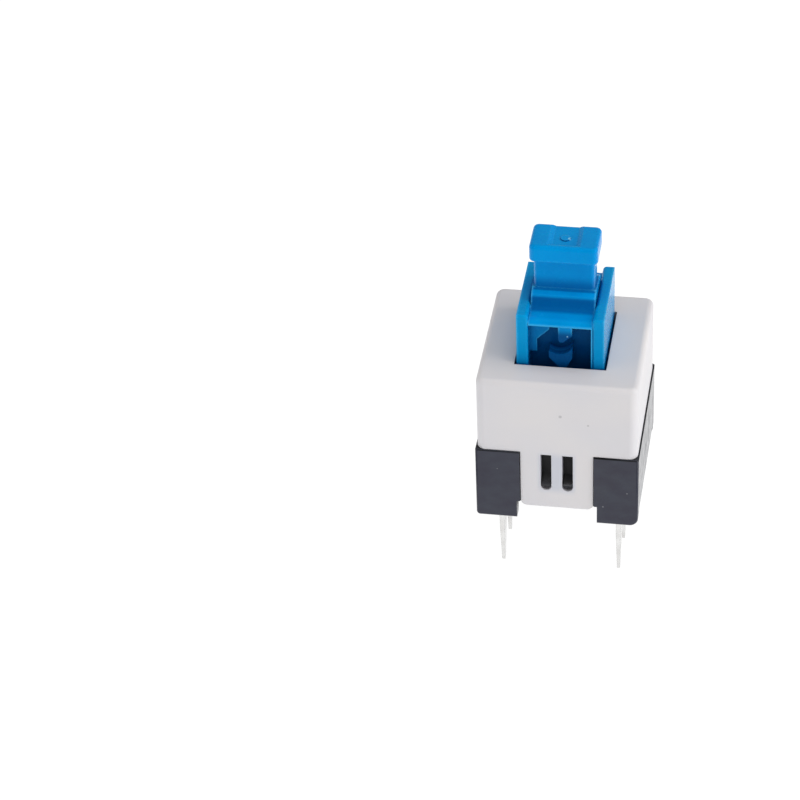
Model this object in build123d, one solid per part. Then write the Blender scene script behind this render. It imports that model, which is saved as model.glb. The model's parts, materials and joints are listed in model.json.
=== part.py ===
from build123d import *
import os

# Self-locking push switch: 8.5 mm square body, six through-hole pins, shown released.
# Frame: origin at the middle of the board plane, under the four feet. X runs across the two
# pin rows, Y along a row with the cam window at -Y, and Z up along the press. Millimetres.

# Housing: a white cover over a black base
body_width = 8.5
body_depth = 8.5
seam_height = 4.5
cover_height = 4.3
cover_wall = 0.6
cover_roof = 0.65
cover_corner_radius = 0.45
cover_edge_radius = 0.3
cover_fit = 0.05

# Snap tabs of the cover, and the catches of the base that sit in their slots
tab_width = 3.8
tab_bottom = 0.85
tab_corner_radius = 0.35
tab_fit = 0.03
tab_slot_width = 0.56
tab_slot_pitch = 1.12
tab_slot_bottom = 1.95
tab_slot_top = 4.28
catch_side_fit = 0.04
catch_play = 0.2
catch_lip = 0.24
catch_ramp = 0.3
catch_sink = 0.05

# Base
base_corner_radius = 0.12
foot_height = 0.65
foot_depth = 0.65
foot_inner_x = 2.1
foot_radius_right = 0.45
foot_radius_left = 0.2
foot_step_height = 1.12
floor_top = 2.1
front_wall = 0.3
spigot_wall = 0.35
spigot_gap = 0.25
plate_width = 3.6
plate_depth = 6.2
plate_step = 0.12
plate_break_y = -0.6
plate_break = 0.06
pocket_x = (-0.55, 1.6)
pocket_y = (0.75, 3.2)
pocket_depth = 0.45
pocket_step_x = -1.3
pocket_step_depth = 0.15
pocket_rib_x = (0.9, 1.45)
pocket_rib_end_y = 2.65
pocket_rib_height = 0.12
pocket_slot_x = (-0.45, 0.35)
pocket_slot_y = (1.35, 2.45)
end_slot_x = (-0.1, 0.75)
end_slot_width = 0.25
end_slot_depth = 0.4
rail_hole_inner_wall = 0.17
rail_hole_outer_wall = 0.2
rail_hole_y = (-2.2, -0.7)
rail_hole_depth = 2.35
side_groove_y = -0.2
side_groove_width = 0.3
side_groove_depth = 0.15
side_groove_length = 3.0

# Terminals: each is one flat blade, with a pad for the moving contact at its inner end
pin_pitch = 2.5
blade_thickness = 0.3
blade_width = 0.8
pin_length = 4.4
pin_taper_length = 2.2
pin_tip_width = 0.32
shoulder_width = 1.4
shoulder_drop = 0.2
shoulder_rise = 0.3
terminal_fit = 0.02
pad_width = 0.56
pad_height = 0.13
pad_overrun = 0.25
pad_break_high = 0.22
pad_break_low = 0.35

# Plunger
contact_room = 0.57
lock_room = 0.87
plunger_clearance = 0.12
full_travel = 2.5
lock_travel = 1.8
bottom_gap = 0.1
rail_thickness = 0.6
rail_rise = 2.98
rail_corner_radius = 0.12
rail_inner_radius = 0.2
beam_drop = 0.28
beam_edge_radius = 0.4
beam_hollow_depth = 0.55
beam_hollow_rise = 0.5
wall_lean = 0.02
ledge_edge_radius = 0.1
ledge_rise = 0.42
ledge_depth = 0.35
ledge_slope = 0.1
neck_root_rise = 0.62
neck_side_step = 0.1
neck_foot_depth = 0.105
neck_depth = 1.35
neck_height = 1.8
neck_edge_radius = 0.2
head_overhang = 0.2
head_depth = 2.2
head_height = 0.95
head_corner_radius = 0.3
head_top_radius = 0.2
head_edge_radius = 0.1
head_cove_radius = 0.3
channel_width = 1.2
channel_flare = 0.24
channel_depth = 0.16
channel_front_wall = 0.28
gate_nub_diameter = 0.5
gate_nub_height = 0.07
flange_setback = 0.25
flange_side_gap = 0.12
flange_top_gap = 0.02
heel_side_gap = 0.22
heel_height = 0.5

# Heart cam, sunk in the front of the plunger
window_side_rim = 0.08
window_depth = 0.9
window_start_room = 0.65
window_end_room = 0.85
cam_drop = 0.12
shelf_drop = 0.58
shelf_gap = 0.5
tongue_left = -0.12
tongue_right = 0.6
tongue_gap = 0.56
tongue_slant = 0.45
tongue_radius = 0.2
island_left = -0.6
island_right = 0.6
island_right_rise = 0.26
island_notch = 0.19
island_cheek = 0.42
island_point_x = 0.15
island_point_gap = 0.5

# Lock pin: a bent wire that swings on its foot in the base floor
wire_diameter = 0.4
wire_bend = 0.45
foot_x = -0.1
foot_cover = 0.1
foot_back_y = -0.9
groove_side_fit = 0.1
groove_floor_fit = 0.01
leg_front_gap = 0.07
tip_x = -0.75
tip_roof_gap = 0.1
tip_reach = 0.42

# Leaf spring between the cover and the lock pin
leaf_thickness = 0.1
leaf_width = 1.9
leaf_gap = 0.02
leaf_end_gap = 0.05

# Return spring
spring_wire = 0.3
spring_radius = 1.1
spring_turns = 6
spring_flat_count = 6
spring_y = 0.4
bore_clearance = 0.1
bore_depth = 4.8
post_clearance = 0.15
post_height = 1.1

# Moving contacts, one wave of strip on each side of the plunger
clip_thickness = 0.12
clip_gap = 0.02
clip_height = 1.7
clip_end_gap = 0.05
clip_overhang = 0.1
clip_flat = 0.5
clip_bend = 0.15

# Places across the switch, from the body's side inwards: walls, terminals, contacts, plunger
sides = {"left": -1, "right": 1}
half_width = body_width / 2
spigot_x = half_width - cover_wall - cover_fit
blade_outer_x = spigot_x - spigot_wall
row_spacing = 2 * blade_outer_x - blade_thickness
terminal_x = row_spacing / 2
blade_inner_x = blade_outer_x - blade_thickness
contact_wall_x = blade_inner_x - pad_height
plunger_width = 2 * (contact_wall_x - contact_room)
rail_x = plunger_width / 2
rail_inner_x = rail_x - rail_thickness

# Places from the body's front inwards: tab, wall, lock pin, plunger
terminal_rows = {"front": -pin_pitch, "middle": 0, "rear": pin_pitch}
half_depth = body_depth / 2
tab_recess = cover_wall + tab_fit
cavity_y = half_depth - tab_recess - front_wall
plunger_depth = 2 * (cavity_y - lock_room)
face_y = plunger_depth / 2

# Heights of the housing
cover_top = seam_height + cover_height
roof_underside = cover_top - cover_roof
spigot_top = roof_underside - spigot_gap

# Heights and widths on the plunger, released
flange_depth = plunger_depth - 2 * flange_setback
ledge_setback = face_y - neck_depth / 2 - neck_foot_depth - ledge_depth
beam_flat = ledge_setback - beam_hollow_depth
neck_width = 2 * (rail_inner_x - neck_side_step)
head_width = neck_width + 2 * head_overhang
window_left = -rail_inner_x
window_right = rail_inner_x - window_side_rim
plunger_bottom = floor_top + full_travel + bottom_gap
heel_top = plunger_bottom + heel_height
clip_bottom = heel_top + clip_end_gap
clip_top = clip_bottom + clip_height
flange_bottom = clip_top + clip_end_gap
rail_top = cover_top + rail_rise
beam_top = rail_top - beam_drop
ledge_top = rail_top + ledge_rise
neck_root = rail_top + neck_root_rise
head_bottom = neck_root + neck_height
head_top = head_bottom + head_height
bore_top = plunger_bottom + bore_depth
bore_radius = spring_radius + spring_wire / 2 + bore_clearance
post_radius = spring_radius - spring_wire / 2 - post_clearance

# The pads that the contacts touch released, pressed and all the way
pad_top = clip_top + pad_overrun
pad_foot = clip_bottom - full_travel + pad_overrun - clip_end_gap * 2
pad_ranges = {
    "front": (clip_top - lock_travel + pad_break_high, pad_top),
    "middle": (pad_foot, pad_top),
    "rear": (pad_foot, clip_bottom - pad_break_low),
}

# Heights of the lock pin and of the cam that it follows
wire_radius = wire_diameter / 2
foot_z = floor_top - foot_cover - wire_radius
leg_y = -(cavity_y - leg_front_gap - wire_radius)
tip_y = -face_y + tip_reach
tip_z = roof_underside - tip_roof_gap - wire_radius
window_bottom = tip_z - window_start_room
window_top = tip_z + full_travel + window_end_room
island_top = tip_z + lock_travel - wire_radius + island_notch
island_waist = island_top - island_cheek
island_point_z = tip_z + island_point_gap
tongue_bottom = island_top + tongue_gap


def block(x, y, z):
    """A box given by its two x, two y and two z values."""
    solid = Box(abs(x[1] - x[0]), abs(y[1] - y[0]), abs(z[1] - z[0]))
    return Pos((x[0] + x[1]) / 2, (y[0] + y[1]) / 2, (z[0] + z[1]) / 2) * solid


def centred(width, y, z):
    """A box centred on x = 0."""
    return block((-width / 2, width / 2), y, z)


def extrude_along_x(points, x):
    """A prism between two x values, its outline given as (y, z) points."""
    face = make_face(Plane.YZ * Polyline(*points, close=True))
    return extrude(Pos(min(x), 0, 0) * face, abs(x[1] - x[0]), dir=(1, 0, 0))


def extrude_along_y(outline, y):
    """A prism between two y values, its outline drawn in the XZ plane."""
    face = make_face(Plane.XZ * outline)
    return extrude(Pos(0, min(y), 0) * face, abs(y[1] - y[0]), dir=(0, 1, 0))


def snap_tab(front):
    """One long tab of the cover, with the two slots that take the catches."""
    outer = front * half_depth
    inner = front * (half_depth - cover_wall)
    tab = centred(tab_width, (outer, inner), (tab_bottom, seam_height + cover_wall))
    low = tab.edges().filter_by(Axis.Y).group_by(Axis.Z)[0]
    tab = fillet(low, tab_corner_radius)
    for x in (-tab_slot_pitch / 2, tab_slot_pitch / 2):
        radius = tab_slot_width / 2
        slot = block((x - radius, x + radius), (outer, inner), (tab_slot_bottom + radius, tab_slot_top))
        rounding = Pos(x, (outer + inner) / 2, tab_slot_bottom + radius) * Rot(90, 0, 0)
        tab -= slot + rounding * Cylinder(radius, cover_wall)
    return tab


def make_cover():
    """White cover: a square cap with the plunger's opening and two snap tabs."""
    cap = centred(body_width, (-half_depth, half_depth), (seam_height, cover_top))
    cap = fillet(cap.edges().filter_by(Axis.Z), cover_corner_radius)
    cap = fillet(cap.edges().group_by(Axis.Z)[-1], cover_edge_radius)
    inner_x = half_width - cover_wall
    inner_y = half_depth - cover_wall
    cap -= block((-inner_x, inner_x), (-inner_y, inner_y), (seam_height, roof_underside))
    opening_x = rail_x + plunger_clearance
    opening_y = face_y + plunger_clearance
    cap -= block((-opening_x, opening_x), (-opening_y, opening_y), (roof_underside, cover_top))
    return cap + snap_tab(-1) + snap_tab(1)


def catches(front):
    """Two ramped catches on one wall of the base."""
    wall_y = front * (half_depth - tab_recess)
    lip_y = front * (half_depth - catch_sink)
    low = tab_slot_bottom + catch_play
    outline = [
        (wall_y, low),
        (lip_y, low),
        (lip_y, low + catch_lip),
        (wall_y, low + catch_lip + catch_ramp),
    ]
    half = tab_slot_width / 2 - catch_side_fit
    return [
        extrude_along_x(outline, (x - half, x + half))
        for x in (-tab_slot_pitch / 2, tab_slot_pitch / 2)
    ]


def terminal_slot(side, row):
    """The space in the base wall that holds one terminal, and the window for its pad."""
    y = terminal_rows[row]
    low, high = pad_ranges[row]
    blade = (side * (blade_inner_x - terminal_fit), side * (blade_outer_x + terminal_fit))
    half = blade_width / 2 + terminal_fit
    wide = shoulder_width / 2 + terminal_fit
    slot = block(blade, (y - half, y + half), (0, high + terminal_fit))
    slot += block(blade, (y - wide, y + wide), (0, foot_height + shoulder_rise + terminal_fit))
    pad = pad_width / 2 + terminal_fit
    window = block(
        (side * contact_wall_x, side * terminal_x),
        (y - pad, y + pad),
        (low - terminal_fit, high + terminal_fit),
    )
    return slot + window


def make_base():
    """Black base: the tray, its contact walls, feet, catches and the underside's recesses."""
    base = centred(body_width, (-half_depth, half_depth), (0, seam_height))
    low_ends = base.edges().filter_by(Axis.Y).group_by(Axis.Z)[0].sort_by(Axis.X)
    base = fillet(low_ends[-1], foot_radius_right)
    low_ends = base.edges().filter_by(Axis.Y).group_by(Axis.Z)[0].sort_by(Axis.X)
    base = fillet(low_ends[0], foot_radius_left)
    base = fillet(base.edges().filter_by(Axis.Z), base_corner_radius)
    base += centred(2 * spigot_x, (-cavity_y, cavity_y), (seam_height, spigot_top))
    base -= centred(2 * contact_wall_x, (-cavity_y, cavity_y), (floor_top, spigot_top))
    tab_half = tab_width / 2 + tab_fit
    for front in (-1, 1):
        wall = (front * (half_depth - tab_recess), front * half_depth)
        base -= block((-tab_half, tab_half), wall, (0, seam_height))
        base -= block((-foot_inner_x, foot_inner_x), wall, (0, foot_step_height))
        for catch in catches(front):
            base += catch
    inner_foot_y = half_depth - foot_depth
    base -= centred(body_width, (-inner_foot_y, inner_foot_y), (0, foot_height))
    base -= centred(2 * foot_inner_x, (-half_depth, half_depth), (0, foot_height))
    base -= underside_recess() + foot_groove() + side_groove()
    for side in sides.values():
        hole_x = (side * (blade_outer_x + rail_hole_inner_wall), side * (half_width - rail_hole_outer_wall))
        base -= block(hole_x, rail_hole_y, (0, foot_height + rail_hole_depth))
        for row in terminal_rows:
            base -= terminal_slot(side, row)
    post = Pos(0, spring_y, floor_top + post_height / 2) * Cylinder(post_radius, post_height)
    return base + post


def underside_recess():
    """What is sunk in the underside: the middle plate, and the pocket with its rib and slot."""
    plate_level = foot_height + plate_step
    plate_end = plate_depth / 2
    recess = centred(plate_width, (-plate_end, plate_end), (0, plate_level))
    recess += centred(plate_width, (-plate_end, plate_break_y), (0, plate_level + plate_break))
    end_slot_y = (-plate_end, end_slot_width - plate_end)
    recess += block(end_slot_x, end_slot_y, (0, plate_level + end_slot_depth))
    recess += block(pocket_x, pocket_y, (0, foot_height + pocket_depth))
    recess += block((pocket_step_x, pocket_x[0]), pocket_y, (0, foot_height + pocket_step_depth))
    rib_z = (foot_height + pocket_depth - pocket_rib_height, foot_height + pocket_depth)
    recess -= block(pocket_rib_x, (pocket_y[0], pocket_rib_end_y), rib_z)
    return recess + block(pocket_slot_x, pocket_slot_y, (0, floor_top))


def foot_groove():
    """The groove in the base's floor in which the lock pin's foot lies and turns."""
    half = wire_radius + groove_side_fit
    low = foot_z - wire_radius - groove_floor_fit
    back = foot_back_y + groove_side_fit
    return block((foot_x - half, foot_x + half), (-cavity_y, back), (low, floor_top))


def side_groove():
    """The upright groove in the base's left side, round at its lower end."""
    radius = side_groove_width / 2
    low = seam_height - side_groove_length + radius
    x = (side_groove_depth - half_width, -half_width)
    groove = block(x, (side_groove_y - radius, side_groove_y + radius), (low, seam_height))
    end = Pos((x[0] + x[1]) / 2, side_groove_y, low) * Rot(0, 90, 0)
    return groove + end * Cylinder(radius, side_groove_depth)


def make_terminal(side, row):
    """One terminal: tapered pin, shoulder, stem, and the pad towards the plunger."""
    low, high = pad_ranges[row]
    y = terminal_rows[row]
    half = blade_width / 2
    wide = shoulder_width / 2
    tip = pin_tip_width / 2
    shoulder_low = foot_height - shoulder_drop
    shoulder_high = foot_height + shoulder_rise
    right_edge = [
        (tip, -pin_length + tip),
        (half, -pin_length + pin_taper_length),
        (half, shoulder_low),
        (wide, shoulder_low),
        (wide, shoulder_high),
        (half, shoulder_high),
        (half, high),
    ]
    left_edge = [(-a, z) for a, z in reversed(right_edge)]
    points = [(y + a, z) for a, z in right_edge + left_edge]
    end = ThreePointArc(points[-1], (y, -pin_length), points[0])
    face = make_face(Plane.YZ * (Polyline(*points) + end))
    start = Pos(terminal_x * side - blade_thickness / 2, 0, 0)
    blade = extrude(start * face, blade_thickness, dir=(1, 0, 0))
    pad_half = pad_width / 2
    pad = block((side * contact_wall_x, side * blade_inner_x), (y - pad_half, y + pad_half), (low, high))
    return blade + pad


def crown_outline():
    """Front half of the plunger's middle in the YZ plane: beam, wall, ledge, foot of the neck."""
    edge = beam_edge_radius
    neck_y = -neck_depth / 2
    ledge_y = -face_y + ledge_setback
    beam_back = -face_y + beam_flat
    front = Line((-face_y, plunger_bottom), (-face_y, beam_top - edge))
    nose = RadiusArc(front @ 1, (-face_y + edge, beam_top), edge)
    beam = Line(nose @ 1, (beam_back, beam_top))
    hollow = TangentArc(beam @ 1, (ledge_y, beam_top + beam_hollow_rise), tangent=beam % 1)
    wall_top_y = ledge_y + wall_lean
    wall = Line(hollow @ 1, (wall_top_y, ledge_top - ledge_edge_radius))
    lip = TangentArc(wall @ 1, (wall_top_y + ledge_edge_radius, ledge_top), tangent=wall % 1)
    ledge = Line(lip @ 1, (ledge_y + ledge_depth, ledge_top + ledge_slope))
    root = TangentArc(ledge @ 1, (neck_y, neck_root), tangent=ledge % 1)
    return front + nose + beam + hollow + wall + lip + ledge + root


def crown():
    """The plunger's middle between the rails, the same towards the front and the back."""
    half = crown_outline()
    top = Line((-neck_depth / 2, neck_root), (neck_depth / 2, neck_root))
    foot = Line((-face_y, plunger_bottom), (face_y, plunger_bottom))
    face = make_face(Plane.YZ * (half + mirror(half, about=Plane.YZ) + top + foot))
    return extrude(Pos(-rail_inner_x, 0, 0) * face, 2 * rail_inner_x, dir=(1, 0, 0))


def head_cove(front):
    """The hollow curve that carries the head's overhang, on one side of the neck."""
    neck_y = front * neck_depth / 2
    edge_y = neck_y + front * head_cove_radius
    low = head_bottom - head_cove_radius
    inner_y = neck_y - front * head_cove_radius
    high = head_bottom + head_cove_radius
    curve = TangentArc((neck_y, low), (edge_y, head_bottom), tangent=(0, 1))
    rest = Polyline((edge_y, head_bottom), (edge_y, high), (inner_y, high), (inner_y, low), (neck_y, low))
    width = neck_width - 2 * neck_edge_radius
    return extrude(Pos(-width / 2, 0, 0) * make_face(Plane.YZ * (curve + rest)), width, dir=(1, 0, 0))


def stem_head():
    """The neck and the head that a push-on cap grips."""
    neck = centred(neck_width, (-neck_depth / 2, neck_depth / 2), (neck_root, head_bottom))
    neck = fillet(neck.edges().filter_by(Axis.Z), neck_edge_radius)
    head = centred(head_width, (-head_depth / 2, head_depth / 2), (head_bottom, head_top))
    head = fillet(head.edges().filter_by(Axis.Z), head_corner_radius)
    head = fillet(head.faces().sort_by(Axis.Z)[-1].edges(), head_top_radius)
    head = fillet(head.faces().sort_by(Axis.Z)[0].edges(), head_edge_radius)
    channel_floor = head_top - channel_depth
    low = channel_width / 2
    high = low + channel_flare
    channel = Polyline(
        (-low, channel_floor), (low, channel_floor), (high, head_top), (-high, head_top), close=True
    )
    head -= extrude_along_y(channel, (channel_front_wall - head_depth / 2, head_depth))
    nub = Pos(0, 0, channel_floor + gate_nub_height / 2) * Cylinder(gate_nub_diameter / 2, gate_nub_height)
    return neck + head + head_cove(-1) + head_cove(1) + nub


def shelf_outline():
    """The high shelf on the way in, which drops off along a slant towards the tongue."""
    low_right = window_left + wire_diameter
    high_right = tongue_left - shelf_gap
    slant_low = tongue_bottom - tongue_radius
    slant_high = slant_low + high_right - low_right
    return Polyline(
        (window_left, island_waist),
        (low_right, island_waist),
        (low_right, slant_low),
        (high_right, slant_high),
        (high_right, window_top),
        (window_left, window_top),
        close=True,
    )


def tongue_outline():
    """The tongue that hangs between the two ways, cut at a slant on the way out."""
    low = (tongue_right - tongue_slant, tongue_bottom)
    right = Line(low, (tongue_right, tongue_bottom + tongue_slant))
    up = Line(right @ 1, (tongue_right, window_top))
    across = Line(up @ 1, (tongue_left, window_top))
    down = Line(across @ 1, (tongue_left, tongue_bottom + tongue_radius))
    return right + up + across + down + RadiusArc(low, down @ 1, tongue_radius)


def island_outline():
    """The heart's island: a notch on top where the wire rests locked, and a point below."""
    middle = (island_left + island_right) / 2
    right_top = island_top + island_right_rise
    notch = ThreePointArc(
        (island_left, island_top), (middle, island_top - island_notch), (island_right, right_top)
    )
    sides_and_point = Polyline(
        (island_right, right_top),
        (island_right, island_waist),
        (island_point_x, island_point_z),
        (island_left, island_waist),
        (island_left, island_top),
    )
    return notch + sides_and_point


def cam_relief():
    """What stands up in the cam window: shelf, tongue and island."""
    floor_y = -face_y + window_depth
    front_y = -face_y + cam_drop
    relief = extrude_along_y(shelf_outline(), (-face_y + shelf_drop, floor_y))
    relief += extrude_along_y(tongue_outline(), (front_y, floor_y))
    return relief + extrude_along_y(island_outline(), (front_y, floor_y))


def side_rail(side):
    """One side rail, its top edge rounded towards the saddle."""
    span = (side * rail_inner_x, side * rail_x)
    rail = block(span, (-face_y, face_y), (plunger_bottom, rail_top))
    top_edges = rail.edges().filter_by(Axis.Y).group_by(Axis.Z)[-1]
    inner_edge = top_edges.sort_by(Axis.X)[0 if side > 0 else -1]
    rail = fillet(inner_edge, rail_inner_radius)
    ends = rail.faces().sort_by(Axis.Z)[-1].edges().filter_by(Axis.X)
    return fillet(ends, rail_corner_radius)


def make_plunger():
    """Blue plunger: two side rails, saddle, stem head, heart cam, stop flanges and spring bore."""
    plunger = crown() + stem_head()
    flange_y = (-flange_depth / 2, flange_depth / 2)
    flange_x = contact_wall_x - flange_side_gap
    heel_x = contact_wall_x - heel_side_gap
    for side in sides.values():
        plunger += side_rail(side)
        flange_z = (flange_bottom, roof_underside - flange_top_gap)
        plunger += block((side * rail_inner_x, side * flange_x), flange_y, flange_z)
        plunger += block((side * rail_inner_x, side * heel_x), flange_y, (plunger_bottom, heel_top))
    window_x = (window_left, window_right)
    plunger -= block(window_x, (-face_y, -face_y + window_depth), (window_bottom, window_top))
    bore = Cylinder(bore_radius, bore_depth)
    plunger -= Pos(0, spring_y, plunger_bottom + bore_depth / 2) * bore
    return plunger + cam_relief()


def bent_wire(points, bends, diameter):
    """A round wire along straight runs joined by arcs."""
    path = FilletPolyline(*points, radius=bends)
    section = Plane(path @ 0, z_dir=path % 0) * Circle(diameter / 2)
    return sweep(section, path=path)


def make_lock_pin():
    """Lock pin: foot in the floor's groove, leg in front of the plunger, tip in the heart cam."""
    points = [
        (foot_x, foot_back_y, foot_z),
        (foot_x, leg_y, foot_z),
        (tip_x, leg_y, tip_z),
        (tip_x, tip_y, tip_z),
    ]
    return bent_wire(points, wire_bend, wire_diameter)


def make_lock_spring():
    """Leaf spring: a bowed strip that stands on the base wall and presses on the lock pin's leg."""
    wall_y = -(half_depth - cover_wall) + leaf_thickness / 2 + leaf_gap
    belly_y = leg_y - wire_radius - leaf_gap - leaf_thickness / 2
    low = seam_height + leaf_end_gap
    high = roof_underside - leaf_end_gap
    bow = ThreePointArc((wall_y, low), (belly_y, (low + high) / 2), (wall_y, high))
    strip = extrude(Plane.YZ * trace(bow, leaf_thickness), leaf_width, dir=(1, 0, 0))
    return Pos((foot_x + tip_x) / 2 - leaf_width / 2, 0, 0) * strip


def make_return_spring():
    """Return spring: plain coil from the base floor to the end of the plunger's bore.

    Its wire has flats in place of a round section, which keeps the coil light."""
    height = bore_top - floor_top - spring_wire
    coil = Helix(pitch=height / spring_turns, height=height, radius=spring_radius)
    section = Plane(coil @ 0, z_dir=coil % 0) * RegularPolygon(spring_wire / 2, spring_flat_count)
    return Pos(0, spring_y, floor_top + spring_wire / 2) * sweep(section, path=coil)


def make_contact(side):
    """Moving contact: one wave of strip that touches the terminal pads at its three crests."""
    outer = side * (contact_wall_x - clip_gap - clip_thickness / 2)
    inner = side * (rail_x + clip_gap + clip_thickness / 2)
    crest = clip_flat / 2
    valley = pin_pitch / 2
    half = [
        (outer, crest),
        (inner, valley - crest / 2),
        (inner, valley + crest / 2),
        (outer, pin_pitch - crest),
        (outer, pin_pitch + clip_overhang),
    ]
    points = [(x, -y) for x, y in reversed(half)] + half
    strip = trace(FilletPolyline(*points, radius=clip_bend), clip_thickness)
    return Pos(0, 0, clip_bottom) * extrude(strip, clip_height)


def build_parts():
    """Every piece of the switch, by name."""
    parts = {
        "cover": make_cover(),
        "base": make_base(),
        "plunger": make_plunger(),
        "return_spring": make_return_spring(),
        "lock_pin": make_lock_pin(),
        "lock_spring": make_lock_spring(),
    }
    for name, side in sides.items():
        parts["contact_" + name] = make_contact(side)
        for row in terminal_rows:
            parts["terminal_" + name + "_" + row] = make_terminal(side, row)
    return parts


os.makedirs("parts", exist_ok=True)
for name, shape in build_parts().items():
    export_step(shape, "parts/" + name + ".step")
    box = shape.bounding_box()
    print(name, "volume", round(shape.volume, 3), "box", box.min, box.max)
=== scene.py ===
# %% [markdown]
# # A self-locking push switch, dressed and lit
# The solids of this little switch come ready made, in real size. This lesson gives them their
# plastics and metals, adds what only shows close up, and sets the camera and the light.
# Everything is in metres, so a millimetre is written with the helper value MM.

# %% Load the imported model
import json
import math

import bmesh
import bpy
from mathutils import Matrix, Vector


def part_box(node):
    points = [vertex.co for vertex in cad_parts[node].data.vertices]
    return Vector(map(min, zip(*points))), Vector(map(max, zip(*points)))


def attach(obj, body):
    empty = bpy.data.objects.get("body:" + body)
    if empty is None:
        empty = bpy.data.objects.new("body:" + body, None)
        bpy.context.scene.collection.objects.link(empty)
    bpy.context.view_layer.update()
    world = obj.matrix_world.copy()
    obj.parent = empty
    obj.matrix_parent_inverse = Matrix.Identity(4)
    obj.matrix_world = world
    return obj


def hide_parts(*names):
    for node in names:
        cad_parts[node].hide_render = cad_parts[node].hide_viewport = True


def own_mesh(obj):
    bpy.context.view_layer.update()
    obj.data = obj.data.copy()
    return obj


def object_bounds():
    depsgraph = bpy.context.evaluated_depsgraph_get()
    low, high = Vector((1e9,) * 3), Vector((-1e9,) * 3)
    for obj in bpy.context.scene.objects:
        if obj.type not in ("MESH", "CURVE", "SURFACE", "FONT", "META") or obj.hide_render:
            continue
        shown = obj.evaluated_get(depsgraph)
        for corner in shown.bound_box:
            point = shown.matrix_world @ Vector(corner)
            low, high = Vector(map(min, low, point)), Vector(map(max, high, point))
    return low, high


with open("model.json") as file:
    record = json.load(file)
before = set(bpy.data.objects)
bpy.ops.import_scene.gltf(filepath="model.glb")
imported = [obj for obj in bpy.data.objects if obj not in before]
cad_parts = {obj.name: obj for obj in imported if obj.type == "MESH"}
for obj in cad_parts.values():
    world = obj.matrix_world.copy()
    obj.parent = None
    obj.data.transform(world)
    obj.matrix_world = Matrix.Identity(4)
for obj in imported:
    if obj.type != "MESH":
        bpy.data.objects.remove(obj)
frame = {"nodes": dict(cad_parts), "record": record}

MM = 0.001
cad_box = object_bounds()
print("pieces from CAD:", len(frame["nodes"]))
print("box in mm:", [round(c / MM, 2) for corner in cad_box for c in corner])

# %% [markdown]
# ## The camera
# The photograph was taken from the front, a little from the right and well above. A long lens
# keeps the uprights nearly parallel. The place, the turn and the lens were worked out by
# matching corners of the model with the same corners in the picture, which is surer than
# turning the camera by eye. The switch stands right of the middle, as it does there.

# %% Place the camera
CAMERA_PLACE = Vector((15.12, -121.26, 98.65)) * MM
CAMERA_TURN = (52.508, 2.186, 9.532)  # degrees about X, Y and Z
LENS = 131.65  # focal length, on a sensor of 36

camera_data = bpy.data.cameras.new("camera")
camera_data.sensor_width = 36
camera_data.lens = LENS
camera_data.clip_start = 0.01
camera_data.clip_end = 10
camera = bpy.data.objects.new("camera", camera_data)
camera.location = CAMERA_PLACE
camera.rotation_euler = [math.radians(a) for a in CAMERA_TURN]
bpy.context.scene.collection.objects.link(camera)
bpy.context.scene.camera = camera
print("camera stands", round(camera.location.length / MM), "mm from the middle of the foot plane")

# %% [markdown]
# ## The floor
# The background is white paper with no shadow on it, and every edge of the switch is lit
# softly, as in a light tent. A sheet that glows by itself gives the white, and it throws light
# up onto the front and the sides, which is why they are brighter than the top.

# %% Lay the paper
PAPER_Z = cad_box[0].z
PAPER_GLOW = 0.95

paper_mesh = bpy.data.meshes.new("paper")
paper_build = bmesh.new()
bmesh.ops.create_grid(paper_build, x_segments=4, y_segments=4, size=2.0)
paper_build.to_mesh(paper_mesh)
paper_build.free()
paper = bpy.data.objects.new("paper", paper_mesh)
paper.location.z = PAPER_Z - 0.01 * MM
bpy.context.scene.collection.objects.link(paper)

paper_finish = bpy.data.materials.new("white_paper")
paper_finish.use_nodes = True
paper_shader = paper_finish.node_tree.nodes["Principled BSDF"]
paper_shader.inputs["Base Color"].default_value = (0.15, 0.15, 0.15, 1)
paper_shader.inputs["Roughness"].default_value = 1.0
paper_shader.inputs["Specular IOR Level"].default_value = 0.0
paper_shader.inputs["Emission Color"].default_value = (1, 1, 1, 1)
paper_shader.inputs["Emission Strength"].default_value = PAPER_GLOW
paper_mesh.materials.append(paper_finish)
print("paper lies at", round(PAPER_Z / MM, 2), "mm")

# %% [markdown]
# ## The light
# Broad, weak panels stand around the switch. They are large on purpose: a small lamp would draw
# a hard bright line along each rounded edge, and the photograph has such lines only at the
# right. The strongest light comes from the right and above, so the top is darker at the left of
# the plunger, which stands in the way there.

# %% Set up the lamps
AIM = Vector((0, 0, 5 * MM))


def soft_lamp(name, azimuth, elevation, distance, size, power, tint=(1, 1, 1)):
    """A square lamp aimed at the switch. Azimuth 0 is in front, and 90 is at the right."""
    data = bpy.data.lights.new(name, "AREA")
    data.color = tint
    data.shape = "SQUARE"
    data.size = size
    data.energy = power
    lamp = bpy.data.objects.new(name, data)
    a, e = math.radians(azimuth), math.radians(elevation)
    direction = Vector((math.sin(a) * math.cos(e), -math.cos(a) * math.cos(e), math.sin(e)))
    lamp.location = AIM + direction * distance
    lamp.rotation_euler = direction.to_track_quat("Z", "Y").to_euler()
    bpy.context.scene.collection.objects.link(lamp)
    print(name, power, "W at", [round(c / MM) for c in lamp.location])


soft_lamp("front_lamp", -4, 22, 0.45, 0.60, 0.45)
soft_lamp("top_lamp", 75, 72, 0.45, 0.42, 0.86, (1.0, 0.965, 0.91))
soft_lamp("right_lamp", 82, 22, 0.40, 0.30, 0.75)
soft_lamp("left_lamp", -80, 30, 0.40, 0.30, 0.30)

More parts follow.
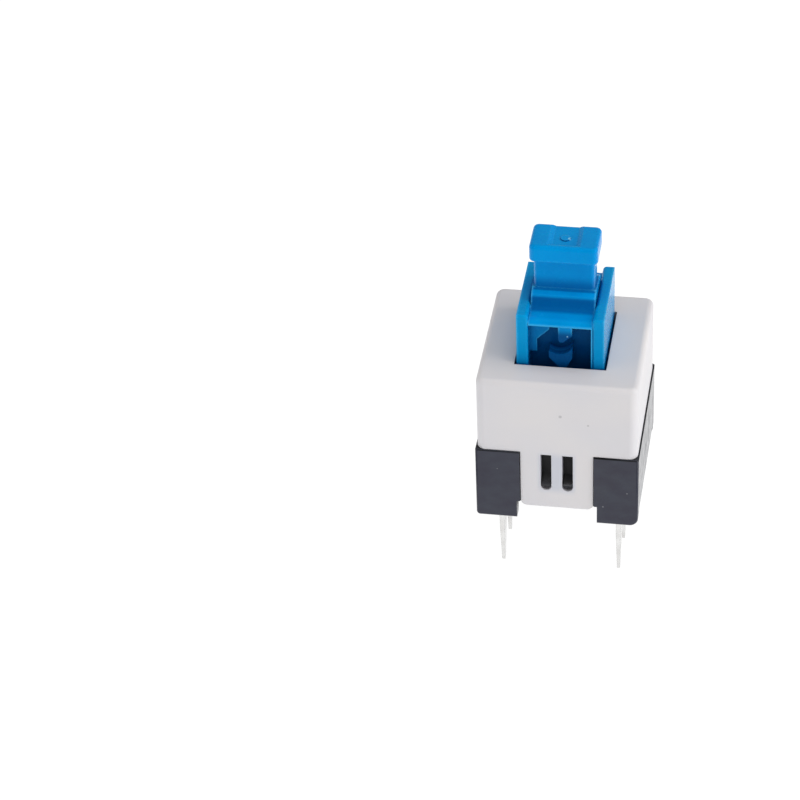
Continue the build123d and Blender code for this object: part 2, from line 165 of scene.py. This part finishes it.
room = bpy.data.worlds.new("room")
room.use_nodes = True
room.node_tree.nodes["Background"].inputs["Color"].default_value = (0.97, 0.98, 1.0, 1)
room.node_tree.nodes["Background"].inputs["Strength"].default_value = 0.26
bpy.context.scene.world = room
bpy.context.scene.view_settings.view_transform = "Standard"

# %% [markdown]
# ## Helpers for the finishes
# Every finish is worked out from the place on the piece, so nothing has to be unwrapped. The
# helpers below make masks: numbers that are one where something shows and zero elsewhere. Two
# masks multiplied give the place where both are one, and a mask then mixes two colours.

# %% Places and masks
def new_finish(name):
    """A material with its shader, and the place on the piece as texture coordinates."""
    finish = bpy.data.materials.new(name)
    finish.use_nodes = True
    tree = finish.node_tree
    place = tree.nodes.new("ShaderNodeTexCoord").outputs["Object"]
    return finish, tree, tree.nodes["Principled BSDF"], place


def axes(tree, place):
    """The x, y and z of a place, each as a number of its own."""
    split = tree.nodes.new("ShaderNodeSeparateXYZ")
    tree.links.new(place, split.inputs["Vector"])
    return [split.outputs[axis] for axis in "XYZ"]


def spread(tree, value, start, end, low=0.0, high=1.0):
    """Low where the value is at start and high where it is at end, and eased in between."""
    step = tree.nodes.new("ShaderNodeMapRange")
    step.interpolation_type = "SMOOTHSTEP"
    step.inputs["From Min"].default_value = start
    step.inputs["From Max"].default_value = end
    step.inputs["To Min"].default_value = low
    step.inputs["To Max"].default_value = high
    tree.links.new(value, step.inputs["Value"])
    return step.outputs["Result"]


def joined(tree, operation, *values):
    """Numbers joined by MULTIPLY, MAXIMUM or another operation of the Math node."""
    result = values[0]
    for value in values[1:]:
        join = tree.nodes.new("ShaderNodeMath")
        join.operation = operation
        tree.links.new(result, join.inputs[0])
        tree.links.new(value, join.inputs[1])
        result = join.outputs["Value"]
    return result


def band(tree, value, zero_below, one_from, one_to, zero_above):
    """One between the inner two of four limits in millimetres, and zero beyond the outer two."""
    rise = spread(tree, value, zero_below * MM, one_from * MM)
    fall = spread(tree, value, zero_above * MM, one_to * MM)
    return joined(tree, "MULTIPLY", rise, fall)


def weaker(tree, mask, most):
    """The same mask with a lower highest value."""
    return spread(tree, mask, 0, 1, 0, most)


# %% Colours, noise and specks
def mixed(tree, mask, colour, other):
    """The colour, with a fixed other colour over it where the mask is one."""
    mix = tree.nodes.new("ShaderNodeMix")
    mix.data_type = "RGBA"
    tree.links.new(mask, mix.inputs["Factor"])
    tree.links.new(colour, mix.inputs[6])
    mix.inputs[7].default_value = (*other, 1)
    return mix.outputs[2]


def noise(tree, place, size, detail=2.0, stretch=(1, 1, 1)):
    """Cloudy noise whose blotches are about size metres wide, drawn out by stretch."""
    mapping = tree.nodes.new("ShaderNodeMapping")
    mapping.inputs["Scale"].default_value = [1 / (size * s) for s in stretch]
    texture = tree.nodes.new("ShaderNodeTexNoise")
    texture.inputs["Scale"].default_value = 1.0
    texture.inputs["Detail"].default_value = detail
    tree.links.new(place, mapping.inputs["Vector"])
    tree.links.new(mapping.outputs["Vector"], texture.inputs["Vector"])
    return texture.outputs["Fac"]


def two_tones(tree, cloud, first, second):
    """A colour that drifts between two tones with a noise."""
    ramp = tree.nodes.new("ShaderNodeValToRGB")
    for element, position, tone in zip(ramp.color_ramp.elements, (0.32, 0.68), (first, second)):
        element.position = position
        element.color = (*tone, 1)
    tree.links.new(cloud, ramp.inputs["Fac"])
    return ramp.outputs["Color"]


def speck(tree, place, centre, radius):
    """One in a small round spot, with its centre and radius in millimetres."""
    distance = tree.nodes.new("ShaderNodeVectorMath")
    distance.operation = "DISTANCE"
    tree.links.new(place, distance.inputs[0])
    distance.inputs[1].default_value = [c * MM for c in centre]
    return spread(tree, distance.outputs["Value"], radius * MM, 0.4 * radius * MM)


def specks(tree, place, spots):
    """One in any of the spots, each given as its centre and its radius in millimetres."""
    return joined(tree, "MAXIMUM", *[speck(tree, place, *spot) for spot in spots])


# %% [markdown]
# Two things make small mouldings look real. One is a slow change of tone over the surface, which
# the eye reads as moulded plastic instead of paint. The other is that no edge is knife sharp:
# the Bevel node bends the shading at an edge as if it had a radius of a few hundredths of a
# millimetre, so each edge catches the light.

# %% Edges, hollows and fine relief
def soft_edges(tree, radius):
    """The surface direction with every edge rounded by a small radius."""
    bevel = tree.nodes.new("ShaderNodeBevel")
    bevel.samples = 6
    bevel.inputs["Radius"].default_value = radius
    return bevel.outputs["Normal"]


def openness(tree, reach):
    """How open the surface lies: one in the open, less in hollows narrower than reach."""
    hollow_shade = tree.nodes.new("ShaderNodeAmbientOcclusion")
    hollow_shade.samples = 8
    hollow_shade.inputs["Distance"].default_value = reach
    return hollow_shade.outputs["AO"]


def outer_edges(tree, normal, open_share):
    """One on the edges that stand out, where handling rubs a piece and a highlight is painted."""
    turn = tree.nodes.new("ShaderNodeVectorMath")
    turn.operation = "DOT_PRODUCT"
    tree.links.new(normal, turn.inputs[0])
    tree.links.new(tree.nodes.new("ShaderNodeNewGeometry").outputs["Normal"], turn.inputs[1])
    edge = spread(tree, turn.outputs["Value"], 0.985, 0.80)
    return joined(tree, "MULTIPLY", edge, spread(tree, open_share, 0.55, 0.80))


def grain(tree, height, depth, normal):
    """Fine relief of that depth in metres, on top of the rounded edges."""
    bump = tree.nodes.new("ShaderNodeBump")
    bump.inputs["Strength"].default_value = 1.0
    bump.inputs["Distance"].default_value = depth
    tree.links.new(height, bump.inputs["Height"])
    tree.links.new(normal, bump.inputs["Normal"])
    return bump.outputs["Normal"]


# %% Connect a finish and keep it
finishes = {}


def connect(tree, shader, colour, roughness, normal):
    """Lead the three worked-out values into the shader."""
    tree.links.new(colour, shader.inputs["Base Color"])
    tree.links.new(roughness, shader.inputs["Roughness"])
    tree.links.new(normal, shader.inputs["Normal"])


def let_light_in(shader, weight, reach, scale):
    """Let light scatter inside, with its reach for red, green and blue."""
    shader.inputs["Subsurface Weight"].default_value = weight
    shader.inputs["Subsurface Radius"].default_value = reach
    shader.inputs["Subsurface Scale"].default_value = scale


def keep_finish(slot, finish):
    """Keep a finish under the name of its material slot."""
    finishes[slot] = finish
    print(slot, "has", len(finish.node_tree.nodes), "shading nodes")


# %% [markdown]
# ## The cover
# The cover is a light grey, satin moulding, a touch warmer in places. Its edges are rubbed and
# painted a little paler as a highlight, its hollows have painted shade, two grey specks sit in the
# front, and between the slots of the tab the wall is thin enough for the black base to tint it.
# Painting these by their place in millimetres is simpler than an unwrapped picture, and it stays
# right when the piece is seen from elsewhere.

# %% Cover: light grey satin plastic
COVER_SPECKS = [((0.2, -4.17, 6.84), 0.12), ((1.63, -4.17, 6.39), 0.08)]


def cover_plastic():
    """Light grey plastic, tinted between the slots, with painted shade in its hollows and a painted
    highlight on its edges.
    """
    finish, tree, shader, place = new_finish("cover_plastic")
    x, _, z = axes(tree, place)
    edges = soft_edges(tree, 0.06 * MM)
    open_share = openness(tree, 0.8 * MM)
    cloud = noise(tree, place, 3.5 * MM, 1.5)
    colour = two_tones(tree, cloud, (0.70, 0.69, 0.72), (0.735, 0.715, 0.725))
    across = band(tree, x, -1.1, -0.8, 0.8, 1.1)
    upright = band(tree, z, 1.6, 2.2, 4.0, 4.6)
    between_slots = joined(tree, "MULTIPLY", across, upright)
    colour = mixed(tree, between_slots, colour, (0.60, 0.615, 0.68))
    # painted shade: the cover is darker in its hollows
    hollow_shade = spread(tree, open_share, 0.55, 0.25)
    colour = mixed(tree, hollow_shade, colour, (0.38, 0.37, 0.40))
    # wear and painted highlight: the outer edges are paler
    wear_and_edge_highlight = weaker(tree, outer_edges(tree, edges, open_share), 0.5)
    colour = mixed(tree, wear_and_edge_highlight, colour, (0.80, 0.79, 0.80))
    dirt = weaker(tree, specks(tree, place, COVER_SPECKS), 0.45)
    colour = mixed(tree, dirt, colour, (0.30, 0.29, 0.31))
    dull = spread(tree, noise(tree, place, 0.6 * MM), 0.3, 0.7, 0.42, 0.52)
    skin = grain(tree, noise(tree, place, 0.12 * MM, 3.0), 0.0012 * MM, edges)
    connect(tree, shader, colour, dull, skin)
    let_light_in(shader, 0.12, (1.0, 0.9, 0.8), 0.25 * MM)
    return finish


keep_finish("white_plastic", cover_plastic())

# %% [markdown]
# ## The base
# The base is a black moulding with glass fibre in it. The fibre gives a dull grey sheen with
# faint flow marks, and a few fibre ends show as pale specks. Its corners are a little paler from
# rubbing and a painted highlight. Its hollows have painted shade that makes them nearly black,
# and so do the catches that stand in the tab's slots.

# %% Base: black plastic with fibre
BASE_FIBRES = [((3.67, -4.25, 2.17), 0.06), ((2.42, -4.25, 1.17), 0.07), ((-3.1, -4.25, 3.2), 0.04)]


def base_plastic():
    """Black plastic with flow marks and fibre ends, painted highlights on its edges, painted shade
    that makes hollows and catches blacker, and duller in hollows.
    """
    finish, tree, shader, place = new_finish("base_plastic")
    x, _, z = axes(tree, place)
    edges = soft_edges(tree, 0.05 * MM)
    open_share = openness(tree, 0.9 * MM)
    flow = noise(tree, place, 1.1 * MM, 4.0, (1.0, 1.0, 0.6))
    colour = two_tones(tree, flow, (0.012, 0.012, 0.032), (0.021, 0.026, 0.046))
    # painted shade: the catches in the tab's slots and the hollows are mixed towards black
    above_slot_foot = spread(tree, z, 2.10 * MM, 2.16 * MM)
    painted_catch_shade = joined(tree, "MULTIPLY", band(tree, x, -1.0, -0.9, 0.9, 1.0), above_slot_foot)
    hollow_shade = spread(tree, open_share, 0.92, 0.62)
    hollow_shade = joined(tree, "MAXIMUM", hollow_shade, weaker(tree, painted_catch_shade, 0.75))
    colour = mixed(tree, hollow_shade, colour, (0.001, 0.001, 0.002))
    # wear and painted highlight: the outer edges are paler
    wear_and_edge_highlight = weaker(tree, outer_edges(tree, edges, open_share), 0.55)
    colour = mixed(tree, wear_and_edge_highlight, colour, (0.075, 0.078, 0.095))
    fibres = weaker(tree, specks(tree, place, BASE_FIBRES), 0.6)
    colour = mixed(tree, fibres, colour, (0.20, 0.20, 0.22))
    dull = spread(tree, noise(tree, place, 0.5 * MM), 0.3, 0.7, 0.15, 0.24)
    shadowed = spread(tree, open_share, 0.92, 0.62, 0.0, 0.5)
    skin = grain(tree, noise(tree, place, 0.10 * MM, 4.0), 0.0016 * MM, edges)
    connect(tree, shader, colour, joined(tree, "ADD", dull, shadowed), skin)
    return finish


keep_finish("black_plastic", base_plastic())

# %% [markdown]
# ## The plunger
# The plunger is a clear azure plastic that lets some light through. Its outer edges have a paler
# painted highlight, and its hollows, the root of the neck and the wall below the ledge have
# painted shade. The two side rails are thin and look a little duller. The cam window is painted
# dark, as shade in its recess. The plastic's reflection is tinted blue when looked at straight on
# and white only at a glancing view, which keeps the blue clean.

# %% Plunger: painted shade, thin rails and painted shade in the cam
def painted_shade_places(tree, x, y, z):
    """One at the wall under the ledge and at the neck's foot, where shade is painted."""
    inwards = tree.nodes.new("ShaderNodeMath")
    inwards.operation = "ABSOLUTE"
    tree.links.new(y, inwards.inputs[0])
    from_middle = inwards.outputs["Value"]
    wall = joined(
        tree,
        "MULTIPLY",
        band(tree, from_middle, 0.95, 1.08, 1.34, 1.82),
        spread(tree, z, 12.28 * MM, 11.94 * MM),
    )
    neck_foot = joined(
        tree,
        "MULTIPLY",
        spread(tree, from_middle, 0.86 * MM, 0.74 * MM),
        spread(tree, z, 13.3 * MM, 12.45 * MM, 0.25, 0.8),
        spread(tree, z, 14.2 * MM, 13.6 * MM),
    )
    between_rails = band(tree, x, -1.66, -1.60, 1.60, 1.66)
    return joined(tree, "MULTIPLY", between_rails, joined(tree, "MAXIMUM", wall, neck_foot))


def thin_rails(tree, x, z):
    """Just over a half on the two side rails, and zero on the rest of the plunger."""
    left = spread(tree, x, -1.60 * MM, -1.70 * MM)
    right = spread(tree, x, 1.60 * MM, 1.70 * MM)
    below_head = spread(tree, z, 12.2 * MM, 12.0 * MM, 0.0, 0.55)
    return joined(tree, "MULTIPLY", joined(tree, "MAXIMUM", left, right), below_head)


def painted_cam_shade(tree, x, y, z):
    """One in the cam window, where shade is painted, and less on its shelf."""
    across = band(tree, x, -1.68, -1.60, 1.54, 1.62)
    sunk = band(tree, y, -2.44, -2.36, -1.50, -1.40)
    below = spread(tree, z, 11.22 * MM, 10.55 * MM)
    shelf = band(tree, y, -2.05, -1.97, -1.80, -1.68)
    lighter_on_shelf = spread(tree, shelf, 0, 1, 1.0, 0.35)
    return joined(tree, "MULTIPLY", across, sunk, below, lighter_on_shelf)


# %% Plunger: clear azure plastic
PLUNGER_GLINTS = [((0.22, -0.06, 15.06), 0.13), ((0.36, -2.33, 10.58), 0.06)]


def plunger_plastic():
    """Clear azure plastic with painted shade in hollows, under the ledge and at the neck's foot,
    and painted highlights at its rims.
    """
    finish, tree, shader, place = new_finish("plunger_plastic")
    x, y, z = axes(tree, place)
    edges = soft_edges(tree, 0.07 * MM)
    open_share = openness(tree, 1.8 * MM)
    cloud = noise(tree, place, 2.2 * MM, 1.5)
    colour = two_tones(tree, cloud, (0.0, 0.272, 0.68), (0.0, 0.315, 0.75))
    colour = mixed(tree, thin_rails(tree, x, z), colour, (0.0, 0.30, 0.58))
    # painted shade: the plunger is darker in its hollows
    hollow_shade = spread(tree, open_share, 0.80, 0.25, 0.0, 0.9)
    # painted shade: darker at the wall under the ledge and at the neck's foot
    painted_deep_shade = weaker(tree, painted_shade_places(tree, x, y, z), 0.85)
    colour = mixed(tree, joined(tree, "MAXIMUM", hollow_shade, painted_deep_shade), colour, (0.0, 0.075, 0.30))
    # painted highlight: paler rims on the edges that stand out
    rims = outer_edges(tree, soft_edges(tree, 0.22 * MM), open_share)
    below_channel = spread(tree, z, 14.98 * MM, 14.80 * MM, 0.35, 0.8)
    painted_edge_highlight = joined(tree, "MULTIPLY", rims, below_channel)
    colour = mixed(tree, painted_edge_highlight, colour, (0.09, 0.56, 0.93))
    # painted shade: the cam window is darker, less so on its shelf
    colour = mixed(tree, painted_cam_shade(tree, x, y, z), colour, (0.0, 0.060, 0.215))
    glints = weaker(tree, specks(tree, place, PLUNGER_GLINTS), 0.5)
    colour = mixed(tree, glints, colour, (0.35, 0.75, 0.95))
    dull = spread(tree, noise(tree, place, 0.7 * MM), 0.3, 0.7, 0.20, 0.30)
    skin = grain(tree, noise(tree, place, 0.5 * MM, 1.0), 0.0004 * MM, edges)
    connect(tree, shader, colour, dull, skin)
    shader.inputs["Specular IOR Level"].default_value = 0.40
    shader.inputs["Specular Tint"].default_value = (0.02, 0.40, 0.85, 1)
    let_light_in(shader, 0.10, (0.05, 0.5, 1.0), 0.3 * MM)
    return finish


keep_finish("blue_plastic", plunger_plastic())

# %% [markdown]
# ## The metals
# The pins are punched from brass strip and tinned: bright, with fine marks along their length
# from rolling and drawing. The wires are bright drawn steel, the leaf is rolled steel and the
# contacts are a golden strip. One helper makes them all, because they differ only in colour,
# gloss and the direction of their marks. Edges are rubbed smoother and painted brighter as a
# highlight.

# %% Drawn and rolled metal
def marked_metal(name, dark, light, gloss, along, depth):
    """Metal with fine marks along one axis. Gloss is the roughness from smooth to dull."""
    finish, tree, shader, place = new_finish(name)
    edges = soft_edges(tree, 0.03 * MM)
    stretch = [6.0 if axis == along else 1.0 for axis in "xyz"]
    marks = noise(tree, place, 0.09 * MM, 3.0, stretch)
    colour = two_tones(tree, noise(tree, place, 0.8 * MM, 2.0), dark, light)
    # wear and painted highlight: edges are brighter in colour, and smoother
    wear_and_edge_highlight = outer_edges(tree, edges, openness(tree, 0.5 * MM))
    colour = mixed(tree, wear_and_edge_highlight, colour, [min(1.0, 1.08 * tone) for tone in light])
    dull = spread(tree, marks, 0.3, 0.7, *gloss)
    polished = joined(tree, "SUBTRACT", dull, weaker(tree, wear_and_edge_highlight, 0.08))
    connect(tree, shader, colour, polished, grain(tree, marks, depth, edges))
    shader.inputs["Metallic"].default_value = 1.0
    return finish


# Slot, darker tone, lighter tone, roughness, axis of the marks, and their depth in millimetres
METALS = [
    ("tinned_brass", (0.66, 0.65, 0.64), (0.80, 0.80, 0.79), (0.20, 0.36), "z", 0.002),
    ("spring_wire", (0.55, 0.55, 0.56), (0.68, 0.68, 0.69), (0.22, 0.34), "x", 0.001),
    ("lock_wire", (0.60, 0.60, 0.61), (0.72, 0.72, 0.73), (0.15, 0.28), "z", 0.001),
    ("leaf_steel", (0.52, 0.53, 0.55), (0.66, 0.67, 0.69), (0.22, 0.36), "z", 0.001),
    ("contact_bronze", (0.62, 0.44, 0.23), (0.80, 0.62, 0.38), (0.20, 0.34), "y", 0.001),
]
for slot, dark, light, gloss, along, depth in METALS:
    keep_finish(slot, marked_metal(slot, dark, light, gloss, along, depth * MM))

# %% Give every CAD piece its finish
slot_of = {row["node"]: row["material_slot"] for row in frame["record"]["subparts"]}
for name, node in frame["nodes"].items():
    node.data.materials.clear()
    node.data.materials.append(finishes[slot_of[name]])
print("finishes:", len(finishes), "for", len(frame["nodes"]), "pieces")

# %% [markdown]
# ## Pieces in place of a CAD piece
# Some shapes are worth more detail than the solids hold. A new piece takes the place of the CAD
# piece, rides on the same body and has the same finish. The helper below starts from a copy of
# the CAD mesh: it welds the points and joins the flat triangles again, so that an edge can be
# picked and bevelled like one drawn by hand. The CAD mesh itself stays as it is.

# %% Helpers for new pieces
NEAR = 0.002 * MM  # how far a point may lie from a level that it is looked for at


def copied_build(name):
    """A working copy of a CAD piece with its flat faces whole again."""
    build = bmesh.new()
    build.from_mesh(frame["nodes"][name].data)
    bmesh.ops.remove_doubles(build, verts=build.verts, dist=0.0005 * MM)
    bmesh.ops.dissolve_limit(
        build,
        angle_limit=math.radians(0.6),
        verts=build.verts,
        edges=build.edges,
        delimit={"NORMAL"},
    )
    return build


def finished_piece(build, name, stands_for, body):
    """A smooth-shaded piece from a build, in place of a CAD piece and riding on a body."""
    mesh = bpy.data.meshes.new(name)
    build.to_mesh(mesh)
    build.free()
    mesh.polygons.foreach_set("use_smooth", [True] * len(mesh.polygons))
    mesh.set_sharp_from_angle(angle=math.radians(32))
    piece = bpy.data.objects.new(name, mesh)
    bpy.context.scene.collection.objects.link(piece)
    mesh.materials.append(finishes[slot_of[stands_for]])
    piece.modifiers.new("flat_faces_stay_flat", "WEIGHTED_NORMAL").keep_sharp = True
    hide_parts(stands_for)
    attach(piece, body)
    return piece


# %% [markdown]
# ## The seam
# On the real switch a fine black line runs all the way round between the white cover and the
# black base. The cover is a little smaller than the base, so the base's rim shows as a narrow
# ledge, and a step in the rim keeps that ledge in shadow. The line could be painted, but real
# edges are dark from every side and in any light. The cover's outer skin is moved inwards,
# corners and all, and its inside stays where the CAD has it.

# %% Cover set in from the base
SEAM_Z = 4.5 * MM
SEAM_DROP = 0.12 * MM
SET_IN = 0.08 * MM
COVER_SKIN_FROM = 3.7 * MM  # further out than this, a point belongs to the cover's outer skin


def lower_the_seam(build):
    """Move every point at the seam down, so the cover's rim comes as low as in the picture."""
    for corner in build.verts:
        if abs(corner.co.z - SEAM_Z) < NEAR:
            corner.co.z -= SEAM_DROP


def set_in_cover():
    """The cover with its rim lower and its outer skin further in."""
    build = copied_build("cover")
    lower_the_seam(build)
    for corner in build.verts:
        for axis in (0, 1):
            if abs(corner.co[axis]) > COVER_SKIN_FROM:
                corner.co[axis] -= math.copysign(SET_IN, corner.co[axis])
    print("cover set in by", round(SET_IN / MM, 2), "mm")
    return finished_piece(build, "set_in_cover", "cover", "housing")


set_in_cover()

# %% [markdown]
# The step in the base's rim is cut by a bevel: with two segments and a profile of zero the new
# edge is folded inwards instead of being rounded. The catches in the tab's slots are moved back
# with the tab, so they stay just below its face.

# %% Base with a stepped rim
RIM_FROM = 4.125 * MM  # further out than this, an edge lies on the base's outside
RIM_STEP = 0.07 * MM
RIM_TURN = 0.6  # radians between the two faces of a rim edge, at least
CATCH_FACE_Y = 4.2 * MM
CATCHES_WITHIN_X = 1.5 * MM


def on_outer_rim(edge, seam_z):
    """True for the edges of the base's upper rim that lie on its outside."""
    for corner in edge.verts:
        at_seam = abs(corner.co.z - seam_z) < NEAR
        outside = max(abs(corner.co.x), abs(corner.co.y)) > RIM_FROM
        if not (at_seam and outside):
            return False
    return edge.calc_face_angle(0.0) > RIM_TURN


def on_catch_face(corner):
    """True for the points of the catches' outer faces."""
    at_face = abs(abs(corner.co.y) - CATCH_FACE_Y) < NEAR
    return abs(corner.co.x) < CATCHES_WITHIN_X and at_face


def stepped_base():
    """The base with its rim lower and stepped, and its catches further back."""
    build = copied_build("base")
    lower_the_seam(build)
    rim = [edge for edge in build.edges if on_outer_rim(edge, SEAM_Z - SEAM_DROP)]
    bmesh.ops.bevel(
        build,
        geom=rim,
        offset=RIM_STEP,
        offset_type="OFFSET",
        segments=2,
        profile=0.0,
        affect="EDGES",
        clamp_overlap=False,
    )
    for corner in build.verts:
        if on_catch_face(corner):
            corner.co.y -= math.copysign(SET_IN, corner.co.y)
    print("rim edges stepped:", len(rim), "and faces now:", len(build.faces))
    return finished_piece(build, "stepped_base", "base", "housing")


stepped_base()

# %% [markdown]
# ## The pins
# Each pin is punched flat, and then its end is coined thinner, so that it finds its hole in the
# board. A pin that is as thick at its tip looks coarse beside the photograph. The copy is cut
# across below the shoulder, squeezed more and more towards the tip, and its edges are broken.

# %% Coined pins
COIN_FROM_Z = -0.5 * MM
COIN_SHARE = 0.48  # how much of its thickness a pin loses at its tip
PIN_EDGE = 0.02 * MM
PIN_TURN = 0.5  # radians between the two faces of an edge that is broken, at least


def coined_pin(name):
    """A terminal whose pin gets thinner towards its tip."""
    build = copied_build(name)
    start, tip = COIN_FROM_Z, PAPER_Z
    everything = build.verts[:] + build.edges[:] + build.faces[:]
    bmesh.ops.bisect_plane(build, geom=everything, plane_co=(0, 0, start), plane_no=(0, 0, 1))
    low = [corner for corner in build.verts if corner.co.z < start + 0.001 * MM]
    middle = sum(corner.co.x for corner in low) / len(low)
    for corner in low:
        way_down = max(0.0, (start - corner.co.z) / (start - tip))
        corner.co.x = middle + (corner.co.x - middle) * (1 - COIN_SHARE * way_down)
    sharp = [edge for edge in build.edges if edge.calc_face_angle(0.0) > PIN_TURN]
    bmesh.ops.bevel(
        build,
        geom=sharp,
        offset=PIN_EDGE,
        offset_type="OFFSET",
        segments=2,
        affect="EDGES",
        clamp_overlap=True,
    )
    return finished_piece(build, name + "_coined", name, "housing")


pins = [name for name in frame["nodes"] if name.startswith("terminal_")]
for name in pins:
    piece = coined_pin(name)
    print(piece.name, "faces:", len(piece.data.polygons))

# %% [markdown]
# ## The return spring
# The spring in the CAD model is a light, faceted coil. Here it is drawn as a round wire with
# closed ends, as springs are wound: the first and the last turn lie flat, and the turns between
# them share the height that is left. It is squeezed when the plunger goes down.

# %% The path of the spring's wire
WIRE = 0.15 * MM  # radius of the wire
COIL = 1.10 * MM  # radius of the coil, at the wire's middle
TURNS = 6
STEPS_PER_TURN = 48
SIDES_OF_WIRE = 14
CLOSED_RISE = 2 * WIRE + 0.02 * MM


def wire_height(turn, first, last):
    """The height of the wire's middle after so many turns, between its first and last height."""
    if turn < 1:
        return first + CLOSED_RISE * turn
    if turn > TURNS - 1:
        return last - CLOSED_RISE * (TURNS - turn)
    share = (turn - 1) / (TURNS - 2)
    return first + CLOSED_RISE + (last - first - 2 * CLOSED_RISE) * share


def wire_ring(build, centre, outwards):
    """A ring of points around the wire's middle."""
    ring = []
    for corner in range(SIDES_OF_WIRE):
        b = 2 * math.pi * corner / SIDES_OF_WIRE
        upwards = Vector((0, 0, math.sin(b) * WIRE))
        ring.append(build.verts.new(centre + outwards * math.cos(b) * WIRE + upwards))
    return ring


# %% Wound spring
def wound_spring():
    """A closed coil of round wire in the box of the CAD spring."""
    low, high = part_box("return_spring")
    middle = Vector(((low.x + high.x) / 2, (low.y + high.y) / 2, 0))
    build = bmesh.new()
    rings = []
    for step in range(TURNS * STEPS_PER_TURN + 1):
        turn = step / STEPS_PER_TURN
        z = wire_height(turn, low.z + WIRE, high.z - WIRE)
        a = 2 * math.pi * turn
        outwards = Vector((math.cos(a), math.sin(a), 0))
        rings.append(wire_ring(build, middle + outwards * COIL + Vector((0, 0, z)), outwards))
    for ring, following in zip(rings, rings[1:]):
        for corner in range(SIDES_OF_WIRE):
            after = (corner + 1) % SIDES_OF_WIRE
            build.faces.new((ring[corner], ring[after], following[after], following[corner]))
    build.faces.new(rings[0][::-1])
    build.faces.new(rings[-1])
    bmesh.ops.recalc_face_normals(build, faces=build.faces)
    return finished_piece(build, "wound_spring", "return_spring", "housing")


spring = wound_spring()
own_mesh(spring)
